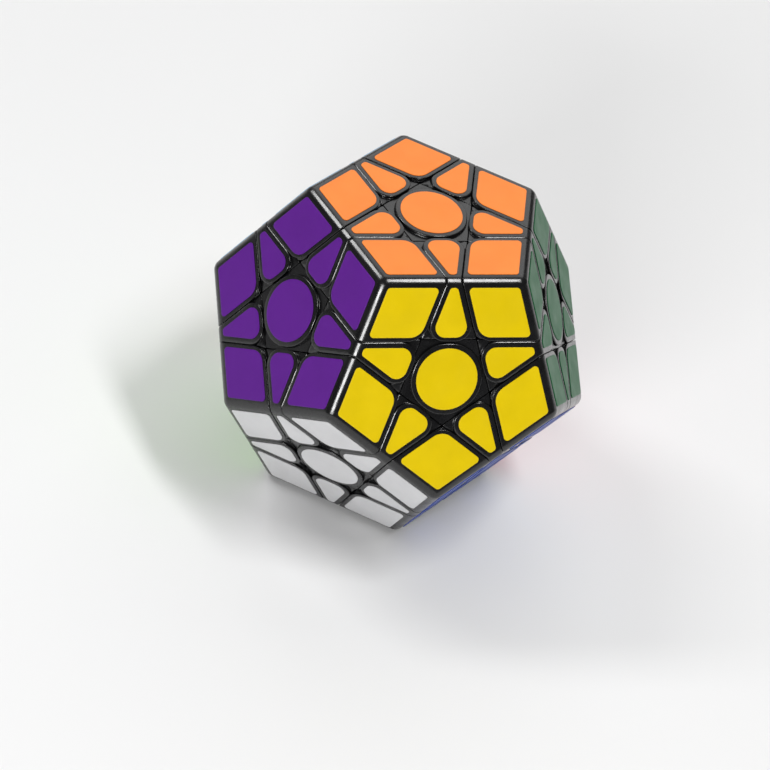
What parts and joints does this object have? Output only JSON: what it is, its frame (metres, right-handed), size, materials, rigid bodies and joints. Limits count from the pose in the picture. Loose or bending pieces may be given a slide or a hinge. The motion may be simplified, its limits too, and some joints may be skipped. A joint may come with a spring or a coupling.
{
  "type": "dodecahedron twisty puzzle",
  "caption": "Black plastic dodecahedral twisty puzzle with pentagonal turning layers, raised round centres and coloured vinyl stickers on every face.",
  "frame": {"origin": "middle of the core, which is the middle of the whole puzzle", "axes": "+Z along the axis of the top face; -Y leans towards the front face, whose axis is 26.57 degrees above -Y; the bottom face lies in the plane z = -0.0334 m"},
  "size_m": [0.0774, 0.0814, 0.0668],
  "materials": {
    "black_plastic": "satin moulded black plastic with rounded rims",
    "core_plastic": "plain moulded plastic, hidden inside",
    "steel": "plated steel, hidden inside",
    "vinyl_yellow": "cut vinyl sticker, slight gloss",
    "vinyl_orange": "cut vinyl sticker, slight gloss",
    "vinyl_purple": "cut vinyl sticker, slight gloss",
    "vinyl_green": "cut vinyl sticker, slight gloss",
    "vinyl_white": "cut vinyl sticker, slight gloss",
    "vinyl_blue": "cut vinyl sticker, slight gloss",
    "vinyl_light_blue": "cut vinyl sticker, slight gloss",
    "vinyl_grey": "cut vinyl sticker, slight gloss",
    "vinyl_light_green": "cut vinyl sticker, slight gloss",
    "vinyl_cream": "cut vinyl sticker, slight gloss",
    "vinyl_pink": "cut vinyl sticker, slight gloss",
    "vinyl_red": "cut vinyl sticker, slight gloss"
  },
  "bodies": {
    "core_body": {"core": "core_plastic", "tension_screws": "steel", "springs": "steel", "washers": "steel", "caps_fixed": "black_plastic", "corners_fixed": "black_plastic", "stickers_fixed": "vinyl_yellow", "centre_top": "black_plastic", "centre_right": "black_plastic", "centre_rear_right": "black_plastic", "centre_left": "black_plastic", "centre_low_front_right": "black_plastic", "centre_low_right": "black_plastic", "centre_low_rear": "black_plastic", "centre_low_left": "black_plastic", "centre_low_front_left": "black_plastic", "edge_lower_1": "black_plastic", "edge_lower_2": "black_plastic", "edge_lower_3": "black_plastic", "edge_lower_4": "black_plastic", "edge_lower_5": "black_plastic", "edge_top_2": "black_plastic", "edge_top_3": "black_plastic", "edge_top_5": "black_plastic", "edge_upper_2": "black_plastic", "edge_waist_2": "black_plastic", "edge_waist_3": "black_plastic", "edge_waist_4": "black_plastic", "edge_waist_5": "black_plastic", "edge_waist_8": "black_plastic", "edge_waist_9": "black_plastic"},
    "front_layer": {"centre_front": "black_plastic", "cap_front": "black_plastic", "corners_front": "black_plastic", "stickers_front": "vinyl_yellow", "edge_top_1": "black_plastic", "edge_upper_1": "black_plastic", "edge_upper_5": "black_plastic", "edge_waist_1": "black_plastic", "edge_waist_10": "black_plastic"},
    "bottom_layer": {"centre_bottom": "black_plastic", "cap_bottom": "black_plastic", "corners_bottom": "black_plastic", "stickers_bottom": "vinyl_yellow", "edge_bottom_1": "black_plastic", "edge_bottom_2": "black_plastic", "edge_bottom_3": "black_plastic", "edge_bottom_4": "black_plastic", "edge_bottom_5": "black_plastic"},
    "rear_left_layer": {"centre_rear_left": "black_plastic", "cap_rear_left": "black_plastic", "corners_rear_left": "black_plastic", "stickers_rear_left": "vinyl_yellow", "edge_top_4": "black_plastic", "edge_upper_3": "black_plastic", "edge_upper_4": "black_plastic", "edge_waist_6": "black_plastic", "edge_waist_7": "black_plastic"}
  },
  "joints": [
    {"name": "front_turn", "type": "hinge", "parent": "core_body", "child": "front_layer", "pos_m": [0, 0, 0], "axis": [0, -0.8944, 0.4472], "continuous": true},
    {"name": "bottom_turn", "type": "hinge", "parent": "core_body", "child": "bottom_layer", "pos_m": [0, 0, 0], "axis": [0, 0, -1], "continuous": true},
    {"name": "rear_left_turn", "type": "hinge", "parent": "core_body", "child": "rear_left_layer", "pos_m": [0, 0, 0], "axis": [-0.5257, 0.7236, 0.4472], "continuous": true}
  ]
}
